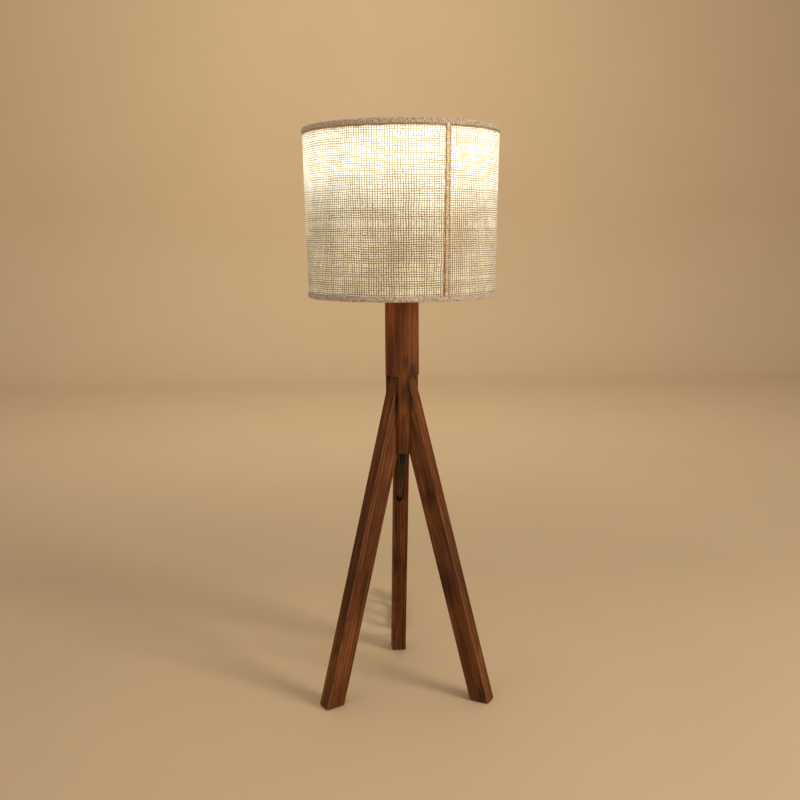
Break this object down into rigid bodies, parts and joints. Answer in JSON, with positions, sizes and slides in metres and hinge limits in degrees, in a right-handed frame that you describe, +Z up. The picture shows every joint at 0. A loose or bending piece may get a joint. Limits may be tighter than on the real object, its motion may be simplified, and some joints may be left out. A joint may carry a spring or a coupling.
{
  "type": "tripod floor lamp",
  "caption": "Floor lamp: round wooden post let into splayed wooden legs, drum shade of coarse woven cloth, corded lampholder and bulb.",
  "frame": {"origin": "on the floor, on the axis of the centre post", "axes": "+Z up along the post; -Y is the front, between two legs; the third leg stands at +Y; +X is to the right of someone facing the front"},
  "size_m": [0.306, 0.5616, 0.9146],
  "materials": {
    "wood": "satin varnish over dark red-brown stain",
    "dowel_wood": "bare beech",
    "felt": "felt",
    "black_plastic": "fine matt",
    "white_plastic": "satin",
    "zinc_steel": "zinc plated",
    "nickel": "nickel plated",
    "brass": "plain",
    "white_steel": "white powder coat",
    "led_board": "white solder mask",
    "opal": "opal, lit",
    "jute": "coarse open weave",
    "liner": "translucent sheet",
    "jute_tape": "woven tape",
    "seam_tape": "overlapped weave",
    "cord_pvc": "smooth PVC"
  },
  "bodies": {
    "stand": {"post": "wood", "leg_front_left": "wood", "leg_front_right": "wood", "leg_back": "wood", "leg_dowels": "dowel_wood", "foot_pads": "felt", "cord_gland": "black_plastic", "threaded_tube": "zinc_steel", "tube_washer": "zinc_steel", "tube_nut": "zinc_steel", "holder_cap": "black_plastic", "holder_skirt": "black_plastic", "holder_core": "white_plastic", "holder_screw_shell": "nickel", "holder_centre_contact": "brass", "shade_ring": "black_plastic", "switch_base": "black_plastic", "switch_cover": "black_plastic", "switch_pin": "zinc_steel", "plug_body": "black_plastic", "plug_pins": "nickel", "cord_inside": "cord_pvc", "cord_lead": "cord_pvc", "cord_tail": "cord_pvc", "cord_hank": "cord_pvc", "hank_tie": "black_plastic"},
    "shade": {"shade_cloth": "jute", "shade_liner": "liner", "shade_bottom_ring": "white_steel", "shade_top_ring": "white_steel", "shade_fitter": "white_steel", "shade_hem_bottom": "jute_tape", "shade_hem_top": "jute_tape", "shade_seam": "seam_tape"},
    "bulb": {"bulb_cap": "nickel", "bulb_insulator": "black_plastic", "bulb_tip_contact": "brass", "bulb_housing": "white_plastic", "bulb_led_board": "led_board", "bulb_diffuser": "opal"},
    "rocker": {"switch_rocker": "black_plastic"}
  },
  "joints": [
    {"name": "shade_swivel", "type": "hinge", "parent": "stand", "child": "shade", "pos_m": [0, 0, 0.73], "axis": [0, 0, 1], "continuous": true},
    {"name": "bulb_out", "type": "slide", "parent": "stand", "child": "bulb", "axis": [0, 0, 1], "range_m": [0, 0.2]},
    {"name": "switch_rock", "type": "hinge", "parent": "stand", "child": "rocker", "pos_m": [0, 0.12664, 0.16934], "axis": [1, 0, 0], "range_deg": [-16, 0]}
  ]
}
